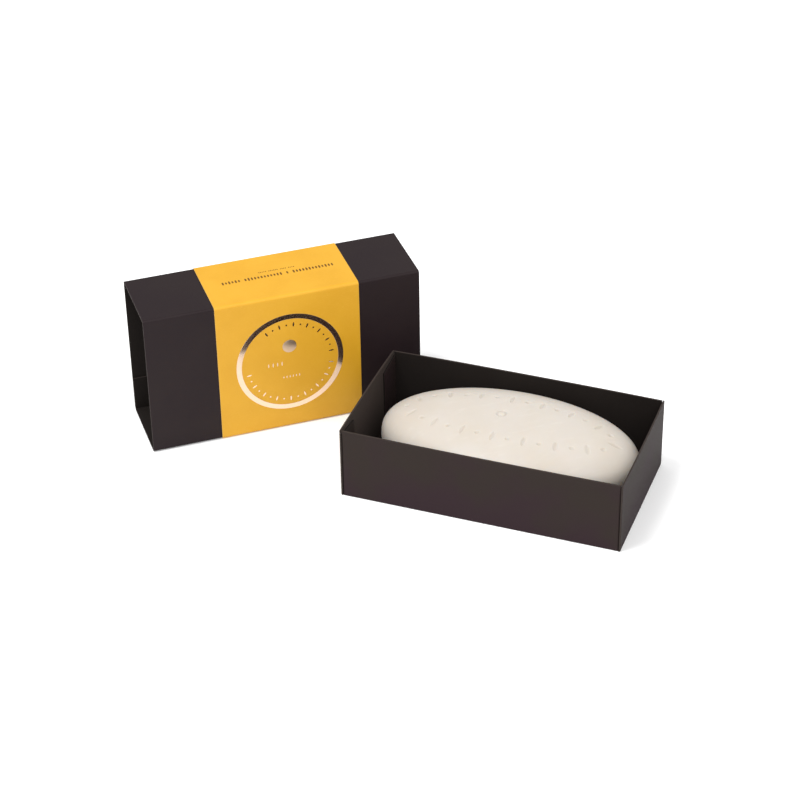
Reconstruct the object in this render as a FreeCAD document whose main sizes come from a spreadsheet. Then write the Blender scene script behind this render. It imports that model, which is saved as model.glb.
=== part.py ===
import FreeCAD
import Part
import Sketcher
import math
import os

# An oval soap bar in an open folded-board tray, with the tray's slide-off
# sleeve standing on a long narrow side beside it. A paper band runs round
# the sleeve and carries stamped foil. Millimetres and degrees, +Z up.
# The origin is the centre of the tray's underside. X runs along the sleeve.

sizes = [
    ("soap_length", 101.4),
    ("soap_width", 56.3),
    ("soap_height", 28.7),
    ("soap_fullness", 2.8),    # exponent of the bar's rounded section, 2 is an ellipse
    ("board", 0.6),            # thickness of the folding board
    ("end_room", 3.5),         # free length past each end of the soap, if it lay in the middle
    ("soap_shift", 2.7),       # the soap lies this far towards the tray's right end
    ("side_room", 0.4),        # free width past each side of the soap
    ("head_room", 0.3),        # from the soap's crown up to the tray's rim
    ("seat_gap", 0.1),         # under the soap
    ("crease", 0.45),          # outer radius of the tray's sharp creases
    ("corner_slit", 0.15),     # between a long wall's end and the end wall
    ("tab_width", 12.0),       # glue tabs inside the tray's corners
    ("tab_drop", 1.5),         # a tab stays this far below the rim
    ("tray_turn", -38.4),      # the tray's long side against the sleeve's
    ("slide_gap", 0.2),        # running clearance between tray and sleeve
    ("overhang", 0.2),         # the sleeve is longer than the tray by this, each end
    ("fold", 0.95),            # outer radius of the sleeve's softer folds
    ("fold_lip", 1.4),         # how far a narrow side reaches round its folds
    ("flap_width", 14.0),      # glue flap inside the sleeve's rear side
    ("stand_gap", 5.0),        # from the tray's nearest corner to the band
    ("stand_lap", 13.0),       # the sleeve's end reaches past that corner by this
    ("paper", 0.25),           # thickness of the band
    ("band_gap", 0.05),        # between the band and the sleeve
    ("band_width", 57.5),
    ("band_shift", 1.5),       # the band's middle from the sleeve's middle
    ("overlap_width", 15.0),   # where the band's two ends are glued together
    ("ring_diameter", 43.2),
    ("ring_stroke", 2.3),
    ("foil", 0.04),            # thickness of the stamped foil
    ("dot_diameter", 5.6),
    ("dot_rise", 7.3),         # the dot's middle above the ring's middle
]

doc = FreeCAD.newDocument("BoxedSoap")
sheet = doc.addObject("Spreadsheet::Sheet", "Sizes")
for row, (alias, value) in enumerate(sizes, start=1):
    sheet.set(f"A{row}", alias)
    sheet.set(f"B{row}", str(value))
    sheet.setAlias(f"B{row}", alias)
doc.recompute()

near = 1e-4  # two places closer than this are the same place


def cell(alias):
    return f"Sizes.{alias}"


def total(*terms):
    return "(" + " + ".join(terms) + ")"


def less(*terms):
    return "(" + " - ".join(terms) + ")"


def times(number, term):
    return f"({number} * {term})"


def half(term):
    return times(0.5, term)


board = cell("board")
paper = cell("paper")

# The tray grows from the soap and the room round it.
tray_length = total(cell("soap_length"), times(2, cell("end_room")), times(2, board))
tray_width = total(cell("soap_width"), times(2, cell("side_room")), times(2, board))
tray_height = total(board, cell("seat_gap"), cell("soap_height"), cell("head_room"))

# The sleeve stands on a narrow side, so the tray's width is its upright size.
# Its rear side is doubled by the glue flap.
sleeve_length = total(tray_length, times(2, cell("overhang")))
sleeve_height = total(tray_width, times(2, cell("slide_gap")), times(2, board))
sleeve_depth = total(tray_height, times(2, cell("slide_gap")), times(3, board))

# The band wraps the sleeve and lies between it and the ground.
wrap = total(cell("band_gap"), paper)
band_height = total(sleeve_height, times(2, wrap))
band_depth = total(sleeve_depth, times(2, wrap))
band_fold = total(cell("fold"), wrap)
band_lip = total(cell("fold_lip"), wrap)

# The sleeve stands behind the tray's corner that comes nearest to it.
cosine = f"cos({cell('tray_turn')} * 1deg)"
sine = f"sin({cell('tray_turn')} * 1deg)"
corner_x = less("0", times(cosine, half(tray_length)), times(sine, half(tray_width)))
corner_y = less(times(cosine, half(tray_width)), times(sine, half(tray_length)))
sleeve_place = (
    less(total(corner_x, cell("stand_lap")), half(sleeve_length)),
    total(corner_y, cell("stand_gap"), half(band_depth)),
    half(band_height),
)


def place(thing, base=None, turn=None):
    """Binds an object's place and its turn about Z to expressions."""
    upright = FreeCAD.Vector(0, 0, 1)
    thing.Placement = FreeCAD.Placement(FreeCAD.Vector(), FreeCAD.Rotation(upright, 1))
    thing.setExpression("Placement.Rotation.Angle", turn or "0deg")
    for axis, value in zip("xyz", base or ()):
        thing.setExpression(f"Placement.Base.{axis}", value)


def in_tray(thing):
    place(thing, turn=f"{cell('tray_turn')} * 1deg")


def on_sleeve(thing):
    place(thing, base=sleeve_place)


def new_body(name, placing):
    body = doc.addObject("PartDesign::Body", name)
    body.Label = name
    placing(body)
    return body


def new_sketch(body, suffix, role, offset):
    """A sketch on one of the body's own origin planes, moved by three expressions."""
    sketch = body.newObject("Sketcher::SketchObject", f"{body.Name}_{suffix}")
    plane = next(p for p in body.Origin.OriginFeatures if p.Role == role)
    sketch.AttachmentSupport = [(plane, "")]
    sketch.MapMode = "FlatFace"
    for axis, value in zip("xyz", offset):
        sketch.setExpression(f"AttachmentOffset.Base.{axis}", value)
    return sketch


def draw_rectangle(sketch, width, height):
    """A rectangle centred on the sketch's origin."""
    corners = [(-5, -5), (5, -5), (5, 5), (-5, 5)]
    points = [FreeCAD.Vector(x, y, 0) for x, y in corners]
    for start, end in zip(points, points[1:] + points[:1]):
        sketch.addGeometry(Part.LineSegment(start, end), False)
    for side in range(4):
        sketch.addConstraint(Sketcher.Constraint("Coincident", side, 2, (side + 1) % 4, 1))
    for side, rule in enumerate(["Horizontal", "Vertical", "Horizontal", "Vertical"]):
        sketch.addConstraint(Sketcher.Constraint(rule, side))
    sketch.addConstraint(Sketcher.Constraint("Symmetric", 0, 1, 2, 1, -1, 1))
    across = sketch.addConstraint(Sketcher.Constraint("DistanceX", 0, 1, 0, 2, 10))
    upright = sketch.addConstraint(Sketcher.Constraint("DistanceY", 1, 1, 1, 2, 10))
    sketch.setExpression(f"Constraints[{across}]", width)
    sketch.setExpression(f"Constraints[{upright}]", height)


def draw_circle(sketch, diameter):
    circle = Part.Circle(FreeCAD.Vector(), FreeCAD.Vector(0, 0, 1), 5)
    index = sketch.addGeometry(circle, False)
    sketch.addConstraint(Sketcher.Constraint("Coincident", index, 3, -1, 1))
    rule = sketch.addConstraint(Sketcher.Constraint("Diameter", index, 10))
    sketch.setExpression(f"Constraints[{rule}]", diameter)


def add_pad(body, sketch, length):
    pad = body.newObject("PartDesign::Pad", f"{body.Name}_pad")
    pad.Profile = sketch
    pad.setExpression("Length", length)
    body.Tip = pad
    doc.recompute()
    return pad


def add_plate(body, normal, centre, size):
    """A flat plate, padded along its normal. The centre and the size are expressions."""
    x, y, z = centre
    long_x, long_y, long_z = size
    if normal == "Z":
        role, offset = "XY_Plane", (x, y, less(z, half(long_z)))
        width, height, thickness = long_x, long_y, long_z
    elif normal == "Y":
        role, offset = "XZ_Plane", (x, z, less("0", y, half(long_y)))
        width, height, thickness = long_x, long_z, long_y
    else:
        role, offset = "YZ_Plane", (y, z, less(x, half(long_x)))
        width, height, thickness = long_y, long_z, long_x
    sketch = new_sketch(body, "outline", role, offset)
    draw_rectangle(sketch, width, height)
    return add_pad(body, sketch, thickness)


def edges_along(feature, axis, wanted):
    """Names of a feature's straight edges along an axis whose middle passes a test."""
    names = []
    for number, edge in enumerate(feature.Shape.Edges, start=1):
        box = edge.BoundBox
        spans = {"X": box.XLength, "Y": box.YLength, "Z": box.ZLength}
        across = [span for key, span in spans.items() if key != axis]
        if max(across) < near and wanted(box.Center):
            names.append(f"Edge{number}")
    return names


def add_fillet(body, feature, suffix, edges, radius):
    rounding = body.newObject("PartDesign::Fillet", f"{body.Name}_{suffix}")
    rounding.Base = (feature, edges)
    rounding.setExpression("Radius", radius)
    body.Tip = rounding
    doc.recompute()
    return rounding


def same(first, second):
    return abs(first - second) < near


def add_folded_side(body, side, size, reach, stock, fold, lip):
    """A wrap's narrow side with the start of its two folds.

    side is 1 for the top and -1 for the bottom, reach is how far its outer face
    is from the wrap's middle, and stock names the cell that holds its thickness.
    """
    length, depth = size
    thickness = cell(stock)
    middle = times(side, less(reach, half(lip)))
    block = add_plate(body, "Z", ("0", "0", middle), (length, depth, lip))
    face = block.Shape.BoundBox.ZMax if side > 0 else block.Shape.BoundBox.ZMin

    inside = times(side, less(reach, thickness, half(lip)))
    hollow = new_sketch(body, "inside", "YZ_Plane", ("0", inside, less("0", length)))
    draw_rectangle(hollow, less(depth, times(2, thickness)), lip)
    pocket = body.newObject("PartDesign::Pocket", f"{body.Name}_hollow")
    pocket.Profile = hollow
    pocket.Type = "Length"
    pocket.Reversed = True
    pocket.setExpression("Length", times(2, length))
    body.Tip = pocket
    doc.recompute()
    assert pocket.Shape.Volume < block.Shape.Volume - near, body.Name

    outer = edges_along(
        pocket, "X",
        lambda p: same(p.z, face) and not same(p.y, 0))
    rounded = add_fillet(body, pocket, "folds", outer, fold)
    inner = edges_along(
        rounded, "X",
        lambda p: same(abs(p.z - face), sheet.get(stock)) and not same(p.y, 0))
    return add_fillet(body, rounded, "inner_folds", inner, less(fold, thickness))


# Tray: a floor, two long walls, two end walls that cover the long walls' ends,
# and a glue tab inside each corner.

wall_middle = half(tray_height)
long_wall_length = less(tray_length, times(2, board), times(2, cell("corner_slit")))

tray_floor = new_body("tray_floor", in_tray)
add_plate(
    tray_floor, "Z", ("0", "0", half(board)),
    (less(tray_length, times(2, board)), less(tray_width, times(2, board)), board))

for name, side in (("tray_front_wall", -1), ("tray_rear_wall", 1)):
    wall = new_body(name, in_tray)
    middle = times(side, half(less(tray_width, board)))
    flat = add_plate(wall, "Y", ("0", middle, wall_middle), (long_wall_length, board, tray_height))
    outside = flat.Shape.BoundBox.YMax if side > 0 else flat.Shape.BoundBox.YMin
    low = edges_along(flat, "X", lambda p: same(p.z, 0) and same(p.y, outside))
    add_fillet(wall, flat, "crease", low, cell("crease"))

for name, side in (("tray_left_wall", -1), ("tray_right_wall", 1)):
    wall = new_body(name, in_tray)
    middle = times(side, half(less(tray_length, board)))
    flat = add_plate(wall, "X", (middle, "0", wall_middle), (board, tray_width, tray_height))
    outside = flat.Shape.BoundBox.XMax if side > 0 else flat.Shape.BoundBox.XMin
    low = edges_along(flat, "Y", lambda p: same(p.z, 0) and same(p.x, outside))
    add_fillet(wall, flat, "crease", low, cell("crease"))

tab_height = less(tray_height, board, cell("tab_drop"))
for x_name, x_side in (("left", -1), ("right", 1)):
    for y_name, y_side in (("front", -1), ("rear", 1)):
        tab = new_body(f"tray_tab_{y_name}_{x_name}", in_tray)
        add_plate(
            tab, "X",
            (times(x_side, less(half(tray_length), times(1.5, board))),
             times(y_side, less(half(tray_width), board, half(cell("tab_width")))),
             total(board, half(tab_height))),
            (board, cell("tab_width"), tab_height))


# Sleeve: two narrow sides with the folds, two wide sides between them, and the
# glue flap that rises from the bottom inside the rear side.

sleeve_size = (sleeve_length, sleeve_depth)
for name, side in (("sleeve_top", 1), ("sleeve_bottom", -1)):
    add_folded_side(
        new_body(name, on_sleeve), side, sleeve_size, half(sleeve_height),
        "board", cell("fold"), cell("fold_lip"))

sleeve_wall_height = less(sleeve_height, times(2, cell("fold_lip")))
for name, side in (("sleeve_front", -1), ("sleeve_rear", 1)):
    middle = times(side, half(less(sleeve_depth, board)))
    add_plate(
        new_body(name, on_sleeve), "Y", ("0", middle, "0"),
        (sleeve_length, board, sleeve_wall_height))

add_plate(
    new_body("sleeve_glue_flap", on_sleeve), "Y",
    ("0", less(half(sleeve_depth), times(1.5, board)),
     total(times(-0.5, sleeve_height), cell("fold"), half(cell("flap_width")))),
    (sleeve_length, board, cell("flap_width")))


# Band: a paper strip round the sleeve, its ends lapped on the rear side.

def on_band(thing):
    x, y, z = sleeve_place
    place(thing, base=(total(x, cell("band_shift")), y, z))


band_size = (cell("band_width"), band_depth)
for name, side in (("band_top", 1), ("band_bottom", -1)):
    add_folded_side(
        new_body(name, on_band), side, band_size, half(band_height),
        "paper", band_fold, band_lip)

band_wall_height = less(band_height, times(2, band_lip))
for name, side in (("band_front", -1), ("band_rear", 1)):
    middle = times(side, half(less(band_depth, paper)))
    add_plate(
        new_body(name, on_band), "Y", ("0", middle, "0"),
        (cell("band_width"), paper, band_wall_height))

add_plate(
    new_body("band_overlap", on_band), "Y",
    ("0", total(half(band_depth), half(paper)), "0"),
    (cell("band_width"), paper, cell("overlap_width")))

front_face = half(band_depth)

foil_ring = new_body("foil_ring", on_band)
ring_outline = new_sketch(foil_ring, "outline", "XZ_Plane", ("0", "0", front_face))
draw_circle(ring_outline, cell("ring_diameter"))
draw_circle(ring_outline, less(cell("ring_diameter"), times(2, cell("ring_stroke"))))
add_pad(foil_ring, ring_outline, cell("foil"))

foil_dot = new_body("foil_dot", on_band)
dot_outline = new_sketch(foil_dot, "outline", "XZ_Plane", ("0", cell("dot_rise"), front_face))
draw_circle(dot_outline, cell("dot_diameter"))
add_pad(foil_dot, dot_outline, cell("foil"))


# Soap: an oval bar. Its upright section along X is a superellipse, turned
# about Z and then narrowed to the bar's width.

def soap_shape():
    half_length = sheet.get("soap_length") / 2
    half_height = sheet.get("soap_height") / 2
    power = 2 / sheet.get("soap_fullness")
    steps = 24
    points = []
    for step in range(steps + 1):
        angle = math.pi * (step / steps - 0.5)
        out = abs(math.cos(angle)) ** power if 0 < step < steps else 0.0
        rise = math.copysign(abs(math.sin(angle)) ** power, angle)
        points.append(FreeCAD.Vector(half_length * out, 0, half_height * rise))
    section = Part.BSplineCurve()
    section.interpolate(
        Points=points, InitialTangent=FreeCAD.Vector(1, 0, 0), FinalTangent=FreeCAD.Vector(-1, 0, 0))
    outline = Part.Wire([section.toShape(), Part.makeLine(points[-1], points[0])])
    turned = Part.Face(outline).revolve(FreeCAD.Vector(), FreeCAD.Vector(0, 0, 1), 360)
    narrow = FreeCAD.Matrix()
    narrow.A22 = sheet.get("soap_width") / sheet.get("soap_length")
    shape = turned.transformGeometry(narrow)
    return Part.Solid(shape.Shells[0]) if shape.ShapeType != "Solid" else shape


soap_bar = doc.addObject("Part::Feature", "soap_bar")
soap_bar.Label = "soap_bar"
soap_bar.Shape = soap_shape()
place(
    soap_bar,
    base=(times(cosine, cell("soap_shift")), times(sine, cell("soap_shift")),
          total(board, cell("seat_gap"), half(cell("soap_height")))),
    turn=f"{cell('tray_turn')} * 1deg")

doc.recompute()

failed = [o.Name for o in doc.Objects if "Invalid" in o.State or "Error" in o.State]
if failed:
    raise RuntimeError(f"not recomputed: {failed}")

os.makedirs("parts", exist_ok=True)
pieces = [o for o in doc.Objects if o.TypeId in ("PartDesign::Body", "Part::Feature")
          and o.getParentGeoFeatureGroup() is None]
for piece in pieces:
    if piece.Shape.isNull() or not piece.Shape.isValid():
        raise RuntimeError(f"bad shape: {piece.Label}")
for piece in pieces:
    piece.Shape.exportStep(os.path.join("parts", f"{piece.Label}.step"))
    box = piece.Shape.BoundBox
    print(
        f"{piece.Label}: {box.XLength:.2f} x {box.YLength:.2f} x {box.ZLength:.2f} mm, "
        f"z {box.ZMin:.2f} to {box.ZMax:.2f}, {piece.Shape.Volume:.0f} mm3, "
        f"{len(piece.Shape.Solids)} solid")
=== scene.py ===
import math

import bmesh
import bpy
import numpy as np
from mathutils import Matrix, Vector, noise


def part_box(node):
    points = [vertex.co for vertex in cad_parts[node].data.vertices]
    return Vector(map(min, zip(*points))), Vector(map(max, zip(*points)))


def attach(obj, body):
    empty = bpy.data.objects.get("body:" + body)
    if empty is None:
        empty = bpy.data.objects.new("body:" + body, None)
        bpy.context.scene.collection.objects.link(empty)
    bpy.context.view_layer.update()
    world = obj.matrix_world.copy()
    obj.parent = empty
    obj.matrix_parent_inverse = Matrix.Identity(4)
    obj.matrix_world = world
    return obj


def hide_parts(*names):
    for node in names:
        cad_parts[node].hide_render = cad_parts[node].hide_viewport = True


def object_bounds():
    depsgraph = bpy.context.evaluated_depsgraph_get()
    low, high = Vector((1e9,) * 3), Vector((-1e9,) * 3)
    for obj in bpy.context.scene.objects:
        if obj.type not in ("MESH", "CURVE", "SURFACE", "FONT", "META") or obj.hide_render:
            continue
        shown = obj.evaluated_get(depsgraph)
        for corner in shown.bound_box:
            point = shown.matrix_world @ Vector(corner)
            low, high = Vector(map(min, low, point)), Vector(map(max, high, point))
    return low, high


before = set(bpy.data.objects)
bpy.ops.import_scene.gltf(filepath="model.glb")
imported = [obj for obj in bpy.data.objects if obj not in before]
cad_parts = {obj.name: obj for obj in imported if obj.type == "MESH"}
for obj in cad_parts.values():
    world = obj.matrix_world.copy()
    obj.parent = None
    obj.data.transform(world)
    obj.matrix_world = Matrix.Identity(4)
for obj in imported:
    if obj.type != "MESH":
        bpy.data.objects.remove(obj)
cadLow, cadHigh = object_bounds()
print("frame loaded with", len(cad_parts), "nodes")

mm = 0.001


# where things are: everything is measured on the loaded nodes

def middleOf(name):
    low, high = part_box(name)
    return (low + high) / 2


def radiusOf(name):
    low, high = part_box(name)
    return (high.x - low.x) / 2


def nodesOf(start):
    return [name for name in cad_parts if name.startswith(start)]


def spanOf(names, place=Matrix.Identity(4)):
    # lowest and highest corner of some nodes, along the axes of a place
    back = np.array(place.inverted())
    found = []
    for name in names:
        points = np.array([v.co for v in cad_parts[name].data.vertices])
        found.append(points @ back[:3, :3].T + back[:3, 3])
    found = np.concatenate(found)
    return Vector(found.min(0)), Vector(found.max(0))


def inMillimetres(size):
    return [round(v / mm, 2) for v in size]


leftEnd, rightEnd = middleOf("tray_left_wall"), middleOf("tray_right_wall")
along = rightEnd - leftEnd
trayFoot = Vector(((leftEnd.x + rightEnd.x) / 2, (leftEnd.y + rightEnd.y) / 2, cadLow.z))
trayPlace = Matrix.Translation(trayFoot) @ Matrix.Rotation(math.atan2(along.y, along.x), 4, "Z")

trayNodes = nodesOf("tray_")
sleeveNodes = nodesOf("sleeve_")
bandNodes = nodesOf("band_")

trayLow, trayHigh = spanOf(trayNodes, trayPlace)
soapLow, soapHigh = spanOf(["soap_bar"], trayPlace)
sleeveLow, sleeveHigh = spanOf(sleeveNodes)
bandLow, bandHigh = spanOf(["band_top", "band_bottom"])
sleeveSize = sleeveHigh - sleeveLow
bandSize = bandHigh - bandLow
sleeveMiddle = (sleeveLow + sleeveHigh) / 2
sleevePlace = Matrix.Translation(sleeveMiddle)
bandMiddle = Vector(((bandLow.x + bandHigh.x) / 2, sleeveMiddle.y, sleeveMiddle.z))
bandPlace = Matrix.Translation(bandMiddle)
print("tray", inMillimetres(trayHigh - trayLow), "sleeve", inMillimetres(sleeveSize))


# node writing

class Wire:
    # an output socket that can stand in a sum
    def __init__(self, kit, socket):
        self.kit = kit
        self.socket = socket

    def beside(self, name):
        return Wire(self.kit, self.socket.node.outputs[name])

    def __add__(self, other):
        return self.kit.sums("ADD", self, other)

    def __radd__(self, other):
        return self.kit.sums("ADD", other, self)

    def __sub__(self, other):
        return self.kit.sums("SUBTRACT", self, other)

    def __rsub__(self, other):
        return self.kit.sums("SUBTRACT", other, self)

    def __mul__(self, other):
        return self.kit.sums("MULTIPLY", self, other)

    def __rmul__(self, other):
        return self.kit.sums("MULTIPLY", other, self)

    def __truediv__(self, other):
        return self.kit.sums("DIVIDE", self, other)

    def __rtruediv__(self, other):
        return self.kit.sums("DIVIDE", other, self)

    def __mod__(self, other):
        return self.kit.sums("MODULO", self, other)

    def __rmod__(self, other):
        return self.kit.sums("MODULO", other, self)

    def __gt__(self, other):
        return self.kit.sums("GREATER_THAN", self, other)

    def __lt__(self, other):
        return self.kit.sums("LESS_THAN", self, other)


class NodeKit:
    # adds nodes to one tree
    def __init__(self, tree):
        self.tree = tree

    def add(self, kind, settings=None, values=None, output=None):
        # settings first, then the sockets, by name or number; gives the named output or the first
        node = self.tree.nodes.new(kind)
        for name, setting in (settings or {}).items():
            setattr(node, name, setting)
        for name, value in (values or {}).items():
            if isinstance(name, int):
                socket = node.inputs[name]
            else:
                socket = next(s for s in node.inputs if s.name == name and s.enabled)
            if isinstance(value, Wire):
                self.tree.links.new(value.socket, socket)
            elif socket.type == "RGBA":
                socket.default_value = (*value, 1.0)
            else:
                socket.default_value = value
        found = [s for s in node.outputs if s.enabled and output in (None, s.name)]
        return Wire(self, found[0]) if found else node

    def sums(self, operation, first, second):
        return self.add("ShaderNodeMath", {"operation": operation}, {0: first, 1: second})

    def blendColours(self, amount, first, second):
        settings = {"data_type": "RGBA", "blend_type": "MIX", "clamp_factor": True}
        return self.add("ShaderNodeMix", settings, {"Factor": amount, "A": first, "B": second}, "Result")

    def ease(self, value, low, high):
        values = {"Value": value, "From Min": low, "From Max": high, "To Min": 0.0, "To Max": 1.0}
        return self.add("ShaderNodeMapRange", {"interpolation_type": "SMOOTHSTEP"}, values)

    def grain(self, place, scale, detail=2.0, roughness=0.5):
        values = {"Vector": place, "Scale": scale, "Detail": detail, "Roughness": roughness}
        return self.add("ShaderNodeTexNoise", {"noise_dimensions": "3D"}, values)

    def onObject(self):
        return self.add("ShaderNodeTexCoord", None, None, "Object")

    def mapped(self, place, values):
        return self.add("ShaderNodeMapping", None, {"Vector": place, **values})

    def stored(self, name):
        return self.add("ShaderNodeAttribute", {"attribute_name": name}, None, "Fac")

    def raised(self, height, distance=1.0):
        values = {"Height": height, "Distance": distance, "Strength": 1.0}
        return self.add("ShaderNodeBump", None, values, "Normal")


def startFinish(name):
    material = bpy.data.materials.new(name)
    material.use_nodes = True
    return material, NodeKit(material.node_tree), material.node_tree.nodes["Principled BSDF"]


def feed(kit, shader, wires, fixed):
    # wires vary over the surface, fixed values are typed into the shader itself
    for name, wire in wires.items():
        kit.tree.links.new(wire.socket, shader.inputs[name])
    for name, value in fixed.items():
        shader.inputs[name].default_value = value


# finishes

def sheetFinish(name, look):
    # board and paper: clouds of tone, fibres along the grain, grit, and wear where worn is stored
    material, kit, shader = startFinish(name)
    place = kit.onObject()
    turned = kit.mapped(place, {"Rotation": look["grainTurn"], "Scale": look["grainStretch"]})
    clouds = kit.grain(place, look["cloudScale"], 3.0)
    fibres = kit.grain(turned, look["fibreScale"], 3.0, 0.6)
    grit = kit.grain(place, look["gritScale"], 2.0, 0.7)
    worn = kit.stored("worn") * (look["wornBase"] + look["wornGrit"] * grit)
    rubbed = kit.ease(worn, look["wornFrom"], look["wornTo"])
    rise = kit.add("ShaderNodeSeparateXYZ", None, {"Vector": place}, "Z") / look["riseSpan"] - 0.5
    tone = kit.ease(clouds + rise * look["riseTint"], look["toneFrom"], look["toneTo"])
    colour = kit.blendColours(tone, look["deep"], look["bright"])
    shown = kit.ease(fibres, look["fibreFrom"], look["fibreTo"]) * look["fibreTint"]
    colour = kit.blendColours(shown, colour, look["fibre"])
    colour = kit.blendColours(rubbed * look["wornTint"], colour, look["rubbed"])
    roughness = look["roughness"] + (fibres - 0.5) * look["fibreRough"] + rubbed * look["wornRough"]
    normal = kit.raised(fibres * look["fibreLift"] + grit * look["gritLift"], look["relief"])
    feed(kit, shader, {"Base Color": colour, "Roughness": roughness, "Normal": normal},
         {"Specular IOR Level": look["shine"]})
    return material


trayBoardLook = dict(
    deep=(0.0250, 0.0136, 0.0168), bright=(0.0240, 0.0168, 0.0142), fibre=(0.036, 0.027, 0.024),
    rubbed=(0.075, 0.058, 0.050), cloudScale=45.0, toneFrom=0.3, toneTo=0.7,
    riseSpan=30.0 * mm, riseTint=0.35,  # the tone drifts from deep to bright over this height
    grainTurn=(0.3, 0.2, 0.5), grainStretch=(1.0, 0.3, 1.0),
    fibreScale=2400.0, fibreFrom=0.56, fibreTo=0.8, fibreTint=0.3, gritScale=7000.0,
    wornBase=0.55, wornGrit=0.9, wornFrom=0.6, wornTo=1.05, wornTint=0.35,
    roughness=0.62, fibreRough=0.16, wornRough=-0.12, shine=0.11,
    fibreLift=0.6, gritLift=0.4, relief=0.022 * mm)
sleeveBoardLook = dict(
    trayBoardLook, deep=(0.0108, 0.0048, 0.0062), bright=(0.0128, 0.0065, 0.0070),
    fibre=(0.025, 0.018, 0.017), riseTint=0.0, roughness=0.54, shine=0.19, grainTurn=(0.3, 0.2, 0.0))
insideBoardLook = dict(
    trayBoardLook, deep=(0.0098, 0.0070, 0.0058), bright=(0.0118, 0.0088, 0.0074),
    fibre=(0.022, 0.017, 0.014), riseTint=0.0, fibreTint=0.4, roughness=0.78, shine=0.15, relief=0.030 * mm)
# painted light: the end walls' inner faces are made paler than the other inner faces, for fill light falling
# on them
endInsideLitLook = dict(
    insideBoardLook, deep=(0.046, 0.034, 0.030), bright=(0.048, 0.037, 0.030),
    fibre=(0.060, 0.048, 0.041))
cutBoardLook = dict(
    trayBoardLook, deep=(0.0095, 0.0067, 0.0059), bright=(0.0158, 0.0114, 0.0098),
    fibre=(0.034, 0.026, 0.022), riseTint=0.0, fibreTint=0.5, cloudScale=900.0,
    wornFrom=2.0,  # past wornTo, which turns the ease over: a cut is rubbed all along
    roughness=0.85, shine=0.12, relief=0.04 * mm)

trayFace = sheetFinish("brownBoardTray", trayBoardLook)
sleeveFace = sheetFinish("brownBoardSleeve", sleeveBoardLook)
boardInside = sheetFinish("brownBoardInside", insideBoardLook)
endInsideLit = sheetFinish("brownBoardEndInsidePaintedLight", endInsideLitLook)
boardCut = sheetFinish("brownBoardCut", cutBoardLook)

paperLook = dict(
    deep=(0.575, 0.290, 0.009), bright=(0.607, 0.313, 0.013), fibre=(0.68, 0.37, 0.045),
    rubbed=(0.72, 0.47, 0.17), cloudScale=70.0, toneFrom=0.3, toneTo=0.7,
    riseSpan=30.0 * mm, riseTint=0.0,
    grainTurn=(0.0, 0.0, 0.0), grainStretch=(0.35, 1.0, 1.0),
    fibreScale=3000.0, fibreFrom=0.5, fibreTo=0.8, fibreTint=0.35, gritScale=8000.0,
    wornBase=0.5, wornGrit=1.0, wornFrom=0.55, wornTo=1.15, wornTint=0.5,
    roughness=0.5, fibreRough=0.14, wornRough=0.1, shine=0.38,
    fibreLift=0.5, gritLift=0.5, relief=0.010 * mm)
paperBackLook = dict(
    paperLook, deep=(0.70, 0.62, 0.50), bright=(0.76, 0.69, 0.57), fibre=(0.82, 0.76, 0.66),
    roughness=0.8, shine=0.15)
paperCutLook = dict(
    paperLook, deep=(0.80, 0.56, 0.22), bright=(0.86, 0.66, 0.34), fibre=(0.9, 0.78, 0.55),
    wornFrom=2.0, roughness=0.85, shine=0.1)

paperFace = sheetFinish("yellowPaperFace", paperLook)
paperBack = sheetFinish("yellowPaperBack", paperBackLook)
paperCut = sheetFinish("yellowPaperCut", paperCutLook)


def foilFinish(name, look):
    material, kit, shader = startFinish(name)
    place = kit.onObject()
    centred = kit.mapped(place, {"Location": tuple(-v for v in look["middle"])})
    across = kit.add("ShaderNodeSeparateXYZ", None, {"Vector": centred}, "X")
    rise = across.beside("Z")
    ripple = kit.grain(place, look["rippleScale"], 1.0)
    pores = kit.grain(place, look["poreScale"], 2.0, 0.7)
    dulled = kit.ease(pores, look["dullFrom"], look["dullTo"])
    colour = kit.blendColours(dulled * look["dullTint"], look["bright"], look["dulled"])
    roughness = look["roughness"] + dulled * look["dullRough"] + (ripple - 0.5) * look["rippleRough"]
    # the stamp leaves the foil a little dished or domed
    dish = across * across * look["dishAcross"] - rise * rise * look["domeUp"] + rise * look["tip"]
    normal = kit.raised(dish + ripple * look["rippleHeight"] + pores * look["poreHeight"])
    feed(kit, shader, {"Base Color": colour, "Roughness": roughness, "Normal": normal}, {"Metallic": 1.0})
    return material


ringMiddle, ringOuter = middleOf("foil_ring"), radiusOf("foil_ring")
dotMiddle, dotOuter = middleOf("foil_dot"), radiusOf("foil_dot")
foilLook = dict(
    bright=(0.80, 0.61, 0.46), dulled=(0.62, 0.46, 0.34), dullFrom=0.58, dullTo=0.82, dullTint=0.5,
    roughness=0.12, dullRough=0.12, rippleRough=0.05, rippleScale=260.0, rippleHeight=0.006 * mm,
    poreScale=6000.0, poreHeight=0.0006 * mm,
    middle=ringMiddle, dishAcross=0.07 / ringOuter, domeUp=0.026 / ringOuter, tip=0.052)
dotLook = dict(
    foilLook, bright=(0.60, 0.45, 0.32), dulled=(0.50, 0.37, 0.26), roughness=0.30,
    middle=dotMiddle, dishAcross=-0.03 / dotOuter, domeUp=0.08 / dotOuter, tip=0.10)
silverFoil = foilFinish("silverFoil", foilLook)
dotFoil = foilFinish("silverFoilDot", dotLook)


def inkFinish(name, look):
    material, kit, shader = startFinish(name)
    place = kit.onObject()
    grit = kit.grain(place, look["gritScale"], 2.0, 0.7)
    thin = kit.ease(grit, look["thinFrom"], look["thinTo"])
    colour = kit.blendColours(thin * look["thinness"], look["ink"], look["paper"])
    roughness = look["roughness"] + grit * look["gritRough"]
    normal = kit.raised(grit, look["relief"])
    feed(kit, shader, {"Base Color": colour, "Roughness": roughness, "Normal": normal},
         {"Specular IOR Level": look["shine"]})
    return material


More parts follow.
